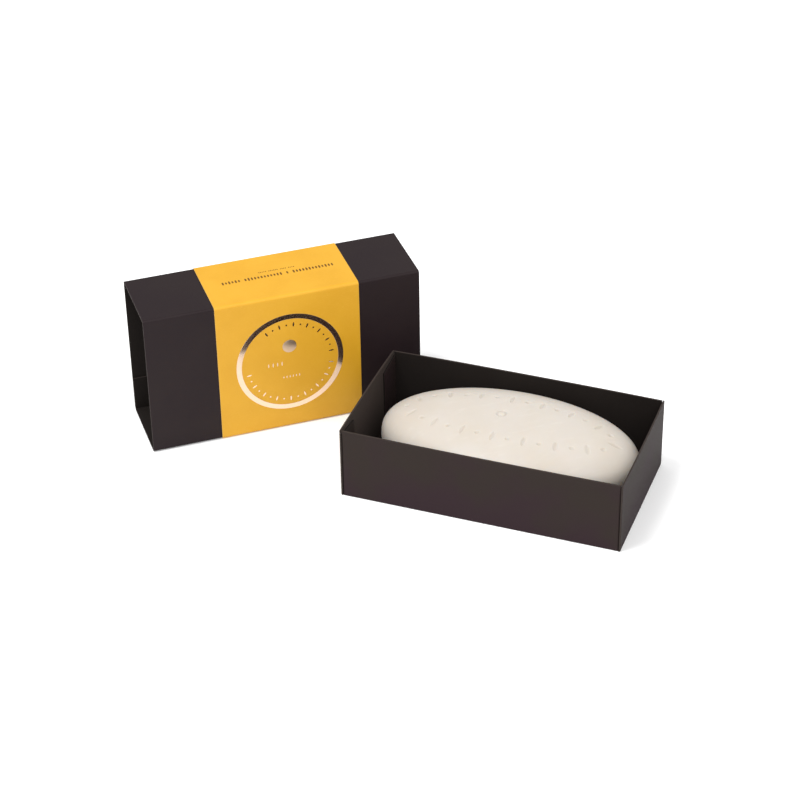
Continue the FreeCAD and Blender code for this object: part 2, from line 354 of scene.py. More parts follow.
inkLook = dict(
    ink=(0.120, 0.054, 0.011), paper=(0.40, 0.18, 0.03), thinFrom=0.5, thinTo=0.78, thinness=0.4,
    roughness=0.55, gritRough=0.2, shine=0.15, gritScale=5200.0, relief=0.004 * mm)
brownInk = inkFinish("brownInk", inkLook)


def soapFinish(name, look):
    material, kit, shader = startFinish(name)
    place = kit.onObject()
    milky = kit.grain(place, look["cloudScale"], 4.0, 0.55)
    drawn = kit.mapped(place, {"Rotation": look["streakTurn"], "Scale": look["streakStretch"]})
    streaks = kit.grain(drawn, look["streakScale"], 3.0, 0.6)
    specks = kit.grain(place, look["speckScale"], 2.0, 0.6)
    pressedWithShade = kit.stored("pressedWithShade")
    colour = kit.blendColours(kit.ease(milky, look["toneFrom"], look["toneTo"]), look["pale"], look["cream"])
    streaked = kit.ease(streaks, look["streakFrom"], look["streakTo"]) * look["streakTint"]
    colour = kit.blendColours(streaked, colour, look["streak"])
    specked = kit.ease(specks, look["speckFrom"], look["speckTo"]) * look["speckTint"]
    colour = kit.blendColours(specked, colour, look["speck"])
    # painted shade: the pressed marks are mixed toward a darker colour, as shade falling in them
    colour = kit.blendColours(pressedWithShade * look["pressedShadeTint"], colour, look["pressedWithShade"])
    roughness = look["roughness"] + (milky - 0.5) * look["cloudRough"] + pressedWithShade * look["pressedRough"]
    roughness = roughness + (specks - 0.5) * look["speckRough"]
    height = specks * look["speckHeight"] + streaks * look["streakHeight"] + milky * look["cloudHeight"]
    feed(kit, shader, {"Base Color": colour, "Roughness": roughness, "Normal": kit.raised(height)}, {
        "Specular IOR Level": look["shine"], "Subsurface Weight": look["glow"],
        "Subsurface Radius": look["glowColour"], "Subsurface Scale": look["glowDepth"]})
    return material


soapLook = dict(
    pale=(0.520, 0.478, 0.430), cream=(0.504, 0.457, 0.398), cloudScale=55.0, toneFrom=0.3, toneTo=0.7,
    streak=(0.556, 0.518, 0.470), streakTurn=(0.0, 0.0, 0.67), streakStretch=(0.25, 1.0, 1.0),
    streakScale=420.0, streakFrom=0.52, streakTo=0.8, streakTint=0.5,
    speck=(0.44, 0.385, 0.325), speckScale=2600.0, speckFrom=0.66, speckTo=0.8, speckTint=0.35,
    # the darker colour put in the pressed marks is painted shade
    pressedWithShade=(0.43, 0.37, 0.30), pressedShadeTint=0.30,
    roughness=0.46, cloudRough=0.12, pressedRough=0.1, speckRough=0.08, shine=0.42,
    speckHeight=0.006 * mm, streakHeight=0.010 * mm, cloudHeight=0.06 * mm,
    glow=0.6, glowColour=(1.0, 0.72, 0.5), glowDepth=5.0 * mm)
milledSoap = soapFinish("milledSoap", soapLook)
print("finishes made:", len(bpy.data.materials))


# mesh writing

# the last kind is an end wall's inner face, which gets a paler finish as painted light from the fill side
outerSide, innerSide, cutSide, endLitSide = range(4)  # what a face of a folded sheet is


def link(thing):
    bpy.context.scene.collection.objects.link(thing)
    return thing


def meshObject(name, vertices, faces, materials, kinds=None, place=None, smoothAngle=38.0):
    mesh = bpy.data.meshes.new(name)
    mesh.from_pydata([tuple(v) for v in vertices], [], [tuple(f) for f in faces])
    for material in materials:
        mesh.materials.append(material)
    if kinds is not None:
        mesh.polygons.foreach_set("material_index", np.array(kinds, np.int32))
    if place is not None:
        mesh.transform(place)
    mesh.polygons.foreach_set("use_smooth", np.ones(len(mesh.polygons), bool))
    mesh.validate()
    mesh.update()
    if smoothAngle is not None:
        mesh.set_sharp_from_angle(angle=math.radians(smoothAngle))
    return link(bpy.data.objects.new(name, mesh))


def faceOutwards(mesh):
    shell = bmesh.new()
    shell.from_mesh(mesh)
    bmesh.ops.recalc_face_normals(shell, faces=shell.faces)
    shell.to_mesh(mesh)
    shell.free()


def storeNumbers(mesh, name, values):
    layer = mesh.attributes.new(name, "FLOAT", "POINT")
    layer.data.foreach_set("value", np.array(values, np.float32))


def eased(count):
    # 0 to 1 in steps that are shorter near both ends
    return [0.5 - 0.5 * math.cos(math.pi * step / count) for step in range(count + 1)]


def spread(half, count):
    # the same steps from -half to half
    return [half * (2 * share - 1) for share in eased(count)]


def movedCorners(corners, distance):
    # every side of an open outline moved to its left
    moved = []
    for number, corner in enumerate(corners):
        sides = []
        if number > 0:
            sides.append((corner - corners[number - 1]).normalized())
        if number < len(corners) - 1:
            sides.append((corners[number + 1] - corner).normalized())
        lefts = [Vector((-side.y, side.x)) for side in sides]
        lean = lefts[0] if len(lefts) == 1 else (lefts[0] + lefts[1]) / (1 + lefts[0].dot(lefts[1]))
        moved.append(corner + lean * distance)
    return moved


def roundedLine(corners, radius, runSteps, arcSteps):
    # an open outline with an arc at each corner between its ends
    points, start = [], corners[0]
    for number, steps in enumerate(runSteps, 1):
        corner = corners[number]
        if number == len(corners) - 1:
            points += [start.lerp(corner, share) for share in eased(steps)]
            break
        before = (corners[number - 1] - corner).normalized()
        after = (corners[number + 1] - corner).normalized()
        turn = math.pi - before.angle(after)
        reach = radius * math.tan(turn / 2)
        finish, leave = corner + before * reach, corner + after * reach
        points += [start.lerp(finish, share) for share in eased(steps)]
        centre = corner + (before + after).normalized() * (radius / math.cos(turn / 2))
        first, second = finish - centre, leave - centre
        sweep = math.atan2(first.x * second.y - first.y * second.x, first.dot(second))
        for step in range(1, arcSteps):
            angle = sweep * step / arcSteps
            points.append(centre + Vector((
                first.x * math.cos(angle) - first.y * math.sin(angle),
                first.x * math.sin(angle) + first.y * math.cos(angle))))
        start = leave
    return points


def stripShell(corners, thickness, radius, runSteps, stations, arcSteps=6, cutRound=0.05 * mm):
    # a folded sheet: outer outline, inner one a thickness to its left, and the cut edges between them
    leastRadius = 0.03 * mm
    innerRadius = max(radius - abs(thickness), leastRadius)
    outerLine = roundedLine(corners, radius, runSteps, arcSteps)
    innerLine = roundedLine(movedCorners(corners, thickness), innerRadius, runSteps, arcSteps)
    shell = bmesh.new()
    rows = []
    for station in stations:
        outerRow = [shell.verts.new((station, p.x, p.y)) for p in outerLine]
        innerRow = [shell.verts.new((station, p.x, p.y)) for p in innerLine]
        rows.append((outerRow, innerRow))
    count = len(outerLine)

    def face(corner, kind):
        made = shell.faces.new(corner)
        made.material_index = kind
        made.smooth = True

    for (outerA, innerA), (outerB, innerB) in zip(rows, rows[1:]):
        for i in range(count - 1):
            face((outerA[i], outerA[i + 1], outerB[i + 1], outerB[i]), outerSide)
            face((innerA[i], innerB[i], innerB[i + 1], innerA[i + 1]), innerSide)
        for i in (0, count - 1):
            face((outerA[i], outerB[i], innerB[i], innerA[i]), cutSide)
    for outerRow, innerRow in (rows[0], rows[-1]):
        for i in range(count - 1):
            face((outerRow[i], innerRow[i], innerRow[i + 1], outerRow[i + 1]), cutSide)
    bmesh.ops.recalc_face_normals(shell, faces=shell.faces)
    rims = [e for e in shell.edges if len(e.link_faces) == 2
            and (e.link_faces[0].material_index == cutSide) != (e.link_faces[1].material_index == cutSide)]
    bmesh.ops.bevel(shell, geom=rims, offset=cutRound, segments=2, profile=0.5,
                    affect="EDGES", clamp_overlap=True)
    shell.verts.index_update()
    vertices = np.array([v.co for v in shell.verts])
    faces = [[v.index for v in f.verts] for f in shell.faces]
    kinds = [f.material_index for f in shell.faces]
    shell.free()
    return vertices, faces, kinds


def joined(parts):
    # several (vertices, faces, kinds) as one
    vertices, faces, kinds, base = [], [], [], 0
    for partVertices, partFaces, partKinds in parts:
        vertices.append(partVertices)
        faces += [[i + base for i in face] for face in partFaces]
        kinds += partKinds
        base += len(partVertices)
    return np.concatenate(vertices), faces, kinds


def nearness(distance, reach):
    return np.exp(-np.maximum(distance, 0) / reach)


# soap bar

soapCut = dict(
    turns=480, topRings=112, topReach=0.9, edgeRings=26, lowerRings=16, fullness=2.8,
    markDepth=0.30 * mm, markEdge=0.45 * mm,
    wreathLong=41.0, wreathShort=12.6, wreathCount=30, wreathSamples=1441,
    leafLength=5.0, leafWidth=1.5, dotRadius=0.75, badgeAt=(-3.8, 1.6), badgeRadius=1.7, badgeWidth=0.38,
    unevenness=0.05 * mm, unevenScale=60, parting=0.05 * mm, partingWidth=0.35 * mm)


def wreathStations():
    # places and directions at even steps round the pressed oval, in millimetres
    long, short = soapCut["wreathLong"], soapCut["wreathShort"]
    angles = np.linspace(0, 2 * math.pi, soapCut["wreathSamples"])
    path = np.stack([long * np.cos(angles), short * np.sin(angles)], axis=1)
    travelled = np.concatenate([[0], np.cumsum(np.linalg.norm(np.diff(path, axis=0), axis=1))])
    wanted = np.linspace(0, travelled[-1], soapCut["wreathCount"], endpoint=False)
    for angle in np.interp(wanted, travelled, angles):
        heading = math.atan2(short * math.cos(angle), -long * math.sin(angle))
        yield long * math.cos(angle), short * math.sin(angle), heading


def markDistance(x, y):
    # millimetres to the edge of the nearest mark, below zero inside one
    halfLong, halfWide = soapCut["leafLength"] / 2, soapCut["leafWidth"] / 2
    bow = (halfLong ** 2 + halfWide ** 2) / (2 * halfWide)
    badge = np.hypot(x - soapCut["badgeAt"][0], y - soapCut["badgeAt"][1])
    nearest = np.abs(badge - soapCut["badgeRadius"]) - soapCut["badgeWidth"]
    for number, (atX, atY, heading) in enumerate(wreathStations()):
        right, up = x - atX, y - atY
        if number % 2:
            mark = np.hypot(right, up) - soapCut["dotRadius"]
        else:
            # a leaf is where two circles overlap
            u = right * math.cos(heading) + up * math.sin(heading)
            v = up * math.cos(heading) - right * math.sin(heading)
            mark = np.hypot(np.abs(u) + bow - halfWide, v) - bow
        nearest = np.minimum(nearest, mark)
    return nearest


soapHalf = (soapHigh - soapLow) / 2
soapMiddle = (soapHigh + soapLow) / 2


def soapProfile():
    # (out, height) of each ring of points between the two poles, as shares, the top first
    full = soapCut["fullness"]
    outs = np.linspace(0, soapCut["topReach"], soapCut["topRings"])[1:]
    profile = [(out, (1 - out ** full) ** (1 / full)) for out in outs]
    lastRise = math.acos(soapCut["topReach"] ** (full / 2))
    edgeRings, lowerRings = soapCut["edgeRings"], soapCut["lowerRings"]
    rises = [lastRise * (1 - ring / edgeRings) for ring in range(1, edgeRings + 1)]
    rises += [-math.pi / 2 * ring / lowerRings for ring in range(1, lowerRings)]
    for rise in rises:
        height = math.copysign(abs(math.sin(rise)) ** (2 / full), rise)
        profile.append((math.cos(rise) ** (2 / full), height))
    return profile


def makeSoap():
    turns = soapCut["turns"]
    angles = np.linspace(0, 2 * math.pi, turns, endpoint=False)
    profile = soapProfile()
    rows = [np.array([[0.0, 0.0, soapHalf.z]])]
    for out, height in profile:
        beyond = math.exp(-(height * soapHalf.z / soapCut["partingWidth"]) ** 2)
        flash = 1 + soapCut["parting"] / soapHalf.y * beyond
        rows.append(np.stack([
            np.cos(angles) * out * flash * soapHalf.x, np.sin(angles) * out * flash * soapHalf.y,
            np.full(turns, height * soapHalf.z)], axis=1))
    rows.append(np.array([[0.0, 0.0, -soapHalf.z]]))
    points = np.concatenate(rows)

    distance = markDistance(points[:, 0] / mm, points[:, 1] / mm) * mm
    inward = np.clip(0.5 - distance / soapCut["markEdge"], 0, 1)
    # this mask sets both the depth of the marks and where the soap finish paints shade
    pressedWithShade = inward * inward * (3 - 2 * inward) * (points[:, 2] > 0)
    # the surface is uneven, and only ever dips below the full shape
    dips = np.array([noise.noise(Vector(p) * soapCut["unevenScale"]) for p in points])
    dips = np.minimum(dips * soapCut["unevenness"], 0)
    centred = points / np.array(soapHalf)
    centred /= np.maximum(np.linalg.norm(centred, axis=1, keepdims=True), 1e-9)
    points = points + centred * dips[:, None]
    points[:, 2] -= pressedWithShade * soapCut["markDepth"]

    faces = [(0, 1 + i, 1 + (i + 1) % turns) for i in range(turns)]
    for row in range(len(profile) - 1):
        a, b = 1 + row * turns, 1 + (row + 1) * turns
        faces += [(a + i, b + i, b + (i + 1) % turns, a + (i + 1) % turns) for i in range(turns)]
    last = 1 + (len(profile) - 1) * turns
    faces += [(last + i, len(points) - 1, last + (i + 1) % turns) for i in range(turns)]
    place = trayPlace @ Matrix.Translation(soapMiddle)
    soap = meshObject("soapBar", points, faces, [milledSoap], place=place, smoothAngle=None)
    storeNumbers(soap.data, "pressedWithShade", pressedWithShade)
    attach(soap, "soap")
    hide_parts("soap_bar")


makeSoap()
print("soap bar pressed")


# tray

trayFold = dict(
    board=0.6 * mm, crease=0.45 * mm, slit=0.24 * mm, wallSteps=22, floorSteps=26, longSteps=44, endSteps=30,
    cornerRound=0.75 * mm, cornerFade=3.0 * mm, cornerShares=(1.4, 1.0, 0.75, 0.45, 0.2), outerShare=0.6,
    tabWidth=12.0 * mm, tabDrop=1.5 * mm, tabSlant=1.6 * mm, tabGap=0.02 * mm, tabSteps=10, tabRise=16,
    endLip=1.2, tabBoard=0.96, tabInset=0.95, tabFoot=1.02,  # in thicknesses of the board
    endLipSteps=2, rimWear=0.35 * mm, foldWear=0.45 * mm,
    longBow=0.55 * mm, longHold=9, endBow=0.3 * mm, endHold=15,  # a higher hold keeps a bow to its wall
    ripple=0.06 * mm, rippleScale=38)
halfLength, halfWidth, trayHeight = trayHigh
tabStart = halfLength - trayFold["board"]  # where the end walls' inner faces are


def longWalls():
    # floor and both long walls are one folded strip
    look = trayFold
    corners = [Vector(p) for p in (
        (-halfWidth, trayHeight), (-halfWidth, 0), (halfWidth, 0), (halfWidth, trayHeight))]
    reach = tabStart - look["slit"]
    turnIn = look["cornerRound"]
    ends = [reach - turnIn * share for share in look["cornerShares"]]
    stations = spread(ends[0], look["longSteps"]) + ends[1:] + [reach]
    stations = [-reach] + [-end for end in reversed(ends[1:])] + stations
    runSteps = [look["wallSteps"], look["floorSteps"], look["wallSteps"]]
    vertices, faces, kinds = stripShell(corners, look["board"], look["crease"], runSteps, stations)
    # the long walls start to turn in where their glue tabs begin
    left = np.clip(reach - np.abs(vertices[:, 0]), 0, turnIn)
    drop = turnIn - np.sqrt(np.maximum(turnIn ** 2 - (turnIn - left) ** 2, 0))
    drop *= np.clip((trayHeight - vertices[:, 2]) / look["cornerFade"], 0, 1)
    outerFace = np.abs(vertices[:, 1]) > halfWidth - look["board"] * look["outerShare"]
    vertices[:, 1] -= np.sign(vertices[:, 1]) * drop * (outerFace & (vertices[:, 2] > look["crease"]))
    return vertices, faces, kinds


def endWall(side):
    # an end wall covers the ends of that strip; its inner face gets a paler finish, painted light standing in
    # for fill light falling on it
    look = trayFold
    lipEnd = halfLength - look["endLip"] * look["board"]
    corners = [Vector(p) for p in (
        (side * halfLength, trayHeight), (side * halfLength, 0), (side * lipEnd, 0))]
    runSteps = [look["wallSteps"], look["endLipSteps"]]
    stations = spread(halfWidth, look["endSteps"])
    vertices, faces, kinds = stripShell(corners, -side * look["board"], look["crease"], runSteps, stations)
    return vertices[:, [1, 0, 2]], faces, [endLitSide if kind == innerSide else kind for kind in kinds]


def glueTab(xSide, ySide):
    # a tab turned in from a long wall lies behind the end wall
    look = trayFold
    board = look["board"]
    corners = [Vector((ySide * y, 0)) for y in (
        halfWidth - board * look["tabInset"], halfWidth - board - look["tabWidth"])]
    low, high = board * look["tabFoot"], trayHeight - look["tabDrop"]
    stations = [low + (high - low) * share for share in eased(look["tabRise"])]
    vertices, faces, kinds = stripShell(corners, board * look["tabBoard"], 0, [look["tabSteps"]], stations)
    up, across, through = vertices.T
    # its free end is cut on a slant
    inwards = np.clip((halfWidth - board - np.abs(across)) / look["tabWidth"], 0, 1)
    slant = inwards * look["tabSlant"] * np.clip((up - low) / (high - low), 0, 1)
    placed = np.stack([xSide * (tabStart - look["tabGap"] - np.abs(through)), across, up - slant], axis=1)
    return placed, faces, [innerSide if kind == cutSide else outerSide for kind in kinds]


def makeTray():
    look = trayFold
    parts = [longWalls()] + [endWall(side) for side in (-1, 1)]
    parts += [glueTab(xSide, ySide) for xSide in (-1, 1) for ySide in (-1, 1)]
    vertices, faces, kinds = joined(parts)

    # wear near folds and cut edges, before the walls bend
    x, y, z = np.abs(vertices.T)
    worn = np.maximum.reduce([
        nearness(trayHeight - z, look["rimWear"]),
        nearness(np.hypot(halfWidth - y, z), look["foldWear"]),
        nearness(np.hypot(halfLength - x, z), look["foldWear"])])

    # the walls bow out between their corners, more towards the rim
    lift = np.clip(vertices[:, 2] / trayHeight, 0, 1)
    outX = np.sign(vertices[:, 0]) * (x / halfLength) ** look["endHold"]
    outY = np.sign(vertices[:, 1]) * (y / halfWidth) ** look["longHold"]
    soft = np.array([noise.noise(Vector(p) * look["rippleScale"]) for p in vertices]) * look["ripple"]
    vertices[:, 1] += outY * (look["longBow"] + soft) * lift * (1 - (x / halfLength) ** 2)
    vertices[:, 0] += outX * (look["endBow"] + soft) * lift * (1 - (y / halfWidth) ** 2)

    finishes = [trayFace, boardInside, boardCut, endInsideLit]
    tray = meshObject("trayBoard", vertices, faces, finishes, kinds, trayPlace)
    faceOutwards(tray.data)
    storeNumbers(tray.data, "worn", worn)
    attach(tray, "tray")
    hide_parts(*trayNodes)


makeTray()
print("tray folded")


# sleeve and the band round it share one gentle bulge, so the band still slides

wrapShape = dict(bulge=0.22 * mm, hold=9)


def bulged(vertices):
    # only the front panel bows out, the glued rear one is stiff and flat
    forward = np.maximum(-vertices[:, 1], 0) / (sleeveSize.y / 2)
    rise = np.clip(vertices[:, 2] / (sleeveSize.z / 2), -1, 1)
    vertices[:, 1] -= forward ** wrapShape["hold"] * wrapShape["bulge"] * (1 - rise ** 2)
    return vertices


def wrapWear(vertices, half, look):
    # along the four folds and both cut ends of a wrap that is twice half in size
    x, y, z = np.abs(vertices.T)
    folds = nearness(np.hypot(half.y - y, half.z - z), look["foldWear"]) * look["foldWorn"]
    return np.maximum(folds, nearness(half.x - x, look["cutWear"]))


sleeveFold = dict(
    board=0.6 * mm, fold=0.95 * mm, flap=14.0 * mm, flapGap=0.03 * mm, hem=1.05 * mm,
    runSteps=(26, 20, 26, 20, 16), arcSteps=7, longSteps=44,
    foldWear=0.9 * mm, foldWorn=0.8, cutWear=0.35 * mm)


def makeSleeve():
    look = sleeveFold
    half = sleeveSize / 2
    inner = half.y - look["board"] - look["flapGap"]
    corners = [Vector(p) for p in (
        (half.y, -half.z + look["hem"]), (half.y, half.z), (-half.y, half.z), (-half.y, -half.z),
        (inner, -half.z), (inner, -half.z + look["fold"] + look["flap"]))]
    stations = spread(half.x, look["longSteps"])
    vertices, faces, kinds = stripShell(
        corners, look["board"], look["fold"], look["runSteps"], stations, look["arcSteps"])
    worn = wrapWear(vertices, half, look)
    finishes = [sleeveFace, boardInside, boardCut]
    sleeve = meshObject("sleeveBoard", bulged(vertices), faces, finishes, kinds, sleevePlace)
    storeNumbers(sleeve.data, "worn", worn)
    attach(sleeve, "sleeve")
    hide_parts(*sleeveNodes)


makeSleeve()
print("sleeve wrapped")


# paper band

bandFold = dict(
    paper=0.25 * mm, fold=1.25 * mm, inset=0.02 * mm, lap=15.0 * mm, lapGap=0.01 * mm,
    lapRise=2.4 * mm, lapStep=0.4 * mm, runSteps=(26, 20, 30, 20, 16, 2, 12), arcSteps=7, longSteps=30,
    cutRound=0.03 * mm, foldWear=0.8 * mm, foldWorn=0.85, cutWear=0.25 * mm)


def makeBand():
    look = bandFold
    half = bandSize / 2 - Vector((0, look["inset"], look["inset"]))
    lap = look["lap"] / 2
    outer = half.y + look["paper"] + look["lapGap"]
    # the strip starts and ends on the rear side, where its last part lies over its first
    corners = [Vector(p) for p in (
        (half.y, lap), (half.y, -half.z), (-half.y, -half.z), (-half.y, half.z), (half.y, half.z),
        (half.y, lap + look["lapRise"]), (outer, lap + look["lapStep"]), (outer, -lap))]
    stations = spread(half.x, look["longSteps"])
    vertices, faces, kinds = stripShell(
        corners, -look["paper"], look["fold"], look["runSteps"], stations, look["arcSteps"], look["cutRound"])
    worn = wrapWear(vertices, half, look)
    finishes = [paperFace, paperBack, paperCut]
    band = meshObject("paperBand", bulged(vertices), faces, finishes, kinds, bandPlace)
    storeNumbers(band.data, "worn", worn)
    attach(band, "band")
    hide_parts(*bandNodes)


makeBand()
print("band glued")


# stamped foil: an open ring and a dot

foilCut = dict(
    stroke=2.1 * mm, ringSteps=256, dotSteps=72, edge=0.03 * mm, edgeDrop=0.4, crown=0.001 * mm,
    crownStart=3, crownMiddle=0.5, smoothAngle=8.0)


def foilDisc(outer, inner, steps, face, back):
    # rings of points from the back edge over the face to the other back edge, in the XZ plane
    edge, top = foilCut["edge"], face - foilCut["crown"]
    shoulder, start = face + edge * foilCut["edgeDrop"], edge * foilCut["crownStart"]
    profile = [(outer, back), (outer, shoulder), (outer - edge, face), (outer - start, top)]
    if inner > 0:
        profile += [(inner + start, top), (inner + edge, face), (inner, shoulder), (inner, back)]
    else:
        profile += [(outer * foilCut["crownMiddle"], top)]
    angles = [2 * math.pi * step / steps for step in range(steps)]
    vertices = [(radius * math.cos(angle), y, radius * math.sin(angle))
                for radius, y in profile for angle in angles]
    faces = []
    rows = len(profile)
    for row in range(rows if inner > 0 else rows - 1):
        a, b = row * steps, ((row + 1) % rows) * steps
        faces += [(a + i, a + (i + 1) % steps, b + (i + 1) % steps, b + i) for i in range(steps)]
    if inner <= 0:
        faces.append([(rows - 1) * steps + i for i in range(steps)])
        faces.append([steps - 1 - i for i in range(steps)])
    return np.array(vertices), faces


def makeFoil(name, node, middle, outer, inner, steps, finish):
    low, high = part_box(node)
    vertices, faces = foilDisc(outer, inner, steps, low.y - middle.y, high.y - middle.y)
    # foil follows the bulge of the paper under it
    offset = np.array(middle - sleeveMiddle)
    vertices = bulged(vertices + offset) - offset
    place = Matrix.Translation(middle)
    foil = meshObject(name, vertices, faces, [finish], place=place, smoothAngle=foilCut["smoothAngle"])
    faceOutwards(foil.data)
    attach(foil, "band")
    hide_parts(node)


ringInner = ringOuter - foilCut["stroke"]
makeFoil("foilRing", "foil_ring", ringMiddle, ringOuter, ringInner, foilCut["ringSteps"], silverFoil)
makeFoil("foilDot", "foil_dot", dotMiddle, dotOuter, 0, foilCut["dotSteps"], dotFoil)
print("foil ring and dot stamped")


# repeated marks come from one geometry tree each

def socketId(tree, name):
    return next(item.identifier for item in tree.interface.items_tree
                if item.item_type == "SOCKET" and item.in_out == "INPUT" and item.name == name)


def startTree(name, wholes, sizes):
    # named inputs: whole numbers, sizes and a finish
    tree = bpy.data.node_groups.new(name, "GeometryNodeTree")
    tree.interface.new_socket("Geometry", in_out="INPUT", socket_type="NodeSocketGeometry")
    for kind, inputs in (("NodeSocketInt", wholes), ("NodeSocketFloat", sizes)):
        for label, value in inputs.items():
            tree.interface.new_socket(label, in_out="INPUT", socket_type=kind).default_value = value
    tree.interface.new_socket("Finish", in_out="INPUT", socket_type="NodeSocketMaterial")
    tree.interface.new_socket("Geometry", in_out="OUTPUT", socket_type="NodeSocketGeometry")
    kit = NodeKit(tree)
    given = kit.add("NodeGroupInput")
    return tree, kit, {label: given.beside(label) for label in (*wholes, *sizes, "Finish")}


def endTree(kit, spots, values, finish):
    # an instance on each spot, made real and painted
    grains = kit.add("GeometryNodeInstanceOnPoints", None, {"Points": spots, **values})
    real = kit.add("GeometryNodeRealizeInstances", None, {"Geometry": grains})
    painted = kit.add("GeometryNodeSetMaterial", None, {"Geometry": real, "Material": finish})
    kit.add("NodeGroupOutput", None, {0: painted})


def spotLine(kit, count, position):
    # so many points, each put at its own position
    line = kit.add("GeometryNodeMeshLine", {"mode": "OFFSET"}, {"Count": count, "Offset": (0.0, 0.0, 0.0)})
    return kit.add("GeometryNodeSetPosition", None, {"Geometry": line, "Position": position})


def grainDisc(kit, corners):
    values = {"Vertices": corners, "Radius": 0.5, "Depth": 1.0}
    return kit.add("GeometryNodeMeshCylinder", {"fill_type": "NGON"}, values)


def grow(name, tree, values, place, body):
    # runs a tree on an empty mesh and keeps the plain mesh that comes out
    carrier = link(bpy.data.objects.new(name + "Carrier", bpy.data.meshes.new(name + "Carrier")))
    modifier = carrier.modifiers.new("grow", "NODES")
    modifier.node_group = tree
    for label, value in values.items():
        modifier[socketId(tree, label)] = value
    bpy.context.view_layer.update()
    depsgraph = bpy.context.evaluated_depsgraph_get()
    mesh = bpy.data.meshes.new_from_object(carrier.evaluated_get(depsgraph))
    carrier.modifiers.remove(modifier)
    bpy.data.objects.remove(carrier)
    mesh.name = name
    mesh.transform(place)
    mesh.update()
    thing = link(bpy.data.objects.new(name, mesh))
    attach(thing, body)


def ringMarkTree():
    # long and short grains round part of a circle, in the XZ plane
    wholes = {"Count": 12, "Corners": 4}
    sizes = {"First Angle": 0.0, "Step Angle": 0.2, "Radius": 17.0 * mm, "Long": 2.4 * mm,
             "Short": 1.0 * mm, "Wide": 0.5 * mm, "Thick": 0.04 * mm}
    tree, kit, given = startTree("ringMarks", wholes, sizes)
    index = kit.add("GeometryNodeInputIndex")
    angle = given["First Angle"] + index * given["Step Angle"]
    right = given["Radius"] * kit.add("ShaderNodeMath", {"operation": "COSINE"}, {0: angle})
    up = given["Radius"] * kit.add("ShaderNodeMath", {"operation": "SINE"}, {0: angle})
    position = kit.add("ShaderNodeCombineXYZ", None, {"X": right, "Y": 0.0, "Z": up})
    flat = {"Geometry": grainDisc(kit, given["Corners"]), "Rotation": (math.pi / 2, 0.0, 0.0)}
    other = index % 2 > 0.5
    size = kit.add("ShaderNodeCombineXYZ", None, {
        "X": given["Long"] * (1 - other) + given["Short"] * other, "Y": given["Thick"],
        "Z": given["Wide"] * (1 - other) + given["Short"] * other})
    turn = {"Axis": (0.0, -1.0, 0.0), "Angle": angle}
    endTree(kit, spotLine(kit, given["Count"], position), {
        "Instance": kit.add("GeometryNodeTransform", None, flat),
        "Rotation": kit.add("FunctionNodeAxisAngleToRotation", None, turn), "Scale": size}, given["Finish"])
    return tree


ringMarks = dict(
    radius=16.9 * mm, long=2.1 * mm, short=0.7 * mm, wide=0.62 * mm, thick=0.036 * mm, corners=8,
    sunk=0.012 * mm, arcs=(
        dict(name="foilMarksUpper", count=13, first=6.0, last=122.0),
        dict(name="foilMarksLower", count=17, first=190.0, last=348.0)))
markTree = ringMarkTree()
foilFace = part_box("foil_ring")[1].y - wrapShape["bulge"] - ringMarks["sunk"]
marksPlace = Matrix.Translation((ringMiddle.x, foilFace, ringMiddle.z))
for arc in ringMarks["arcs"]:
    grow(arc["name"], markTree, {
        "Count": arc["count"], "First Angle": math.radians(arc["first"]),
        "Step Angle": math.radians((arc["last"] - arc["first"]) / (arc["count"] - 1)),
        "Radius": ringMarks["radius"], "Long": ringMarks["long"], "Short": ringMarks["short"],
        "Wide": ringMarks["wide"], "Thick": ringMarks["thick"], "Corners": ringMarks["corners"],
        "Finish": silverFoil}, marksPlace, "band")


def rowMarkTree():
    # a straight row of small grains of uneven height with up to three gaps, in the XY plane
    gapLabels = ("First Gap", "Second Gap", "Third Gap")
    wholes = {"Count": 12, "Corners": 12, "Seed": 3, **{label: -1 for label in gapLabels}}
    sizes = {"Length": 10.0 * mm, "Tall": 1.0 * mm, "Low": 0.5 * mm, "Wide": 0.4 * mm, "Thick": 0.02 * mm}
    tree, kit, given = startTree("rowMarks", wholes, sizes)
    index = kit.add("GeometryNodeInputIndex")
    x = given["Length"] * (index / (given["Count"] - 1) - 0.5)
    position = kit.add("ShaderNodeCombineXYZ", None, {"X": x, "Y": 0.0, "Z": 0.0})
    gaps = [kit.add("ShaderNodeMath", {"operation": "COMPARE"}, {0: index, 1: given[label], 2: 0.5})
            for label in gapLabels]
    heights = {"Min": given["Low"], "Max": given["Tall"], "Seed": given["Seed"]}
    tall = kit.add("FunctionNodeRandomValue", {"data_type": "FLOAT"}, heights, "Value")
    size = kit.add("ShaderNodeCombineXYZ", None, {"X": given["Wide"], "Y": tall, "Z": given["Thick"]})
    endTree(kit, spotLine(kit, given["Count"], position), {
        "Selection": gaps[0] + gaps[1] + gaps[2] < 0.5, "Instance": grainDisc(kit, given["Corners"]),
        "Scale": size}, given["Finish"])
    return tree


rowTree = rowMarkTree()


def growRow(row, look, finish, place):
    first, second, third = row.get("gaps", (-1, -1, -1))  # -1 is no gap
    grow(row["name"], rowTree, {
        "Count": row["count"], "Length": row["length"], "Tall": row["tall"], "Low": row["low"],
        "Wide": row["wide"], "Thick": look["thick"], "First Gap": first, "Second Gap": second,
        "Third Gap": third, "Seed": row["seed"], "Finish": finish}, place, "band")


foilRows = dict(thick=0.036 * mm, rows=(
    dict(name="foilRowLeft", count=4, x=-6.0 * mm, z=-0.2 * mm, length=5.4 * mm, tall=2.0 * mm,
         low=1.4 * mm, wide=0.46 * mm, seed=5),
    dict(name="foilRowLow", count=6, x=0.35 * mm, z=-6.7 * mm, length=6.4 * mm, tall=1.1 * mm,
         low=0.9 * mm, wide=0.42 * mm, seed=5)))
standing = Matrix.Rotation(math.pi / 2, 4, "X")
for row in foilRows["rows"]:
    place = Matrix.Translation((ringMiddle.x + row["x"], foilFace, ringMiddle.z + row["z"])) @ standing
    growRow(row, foilRows, silverFoil, place)

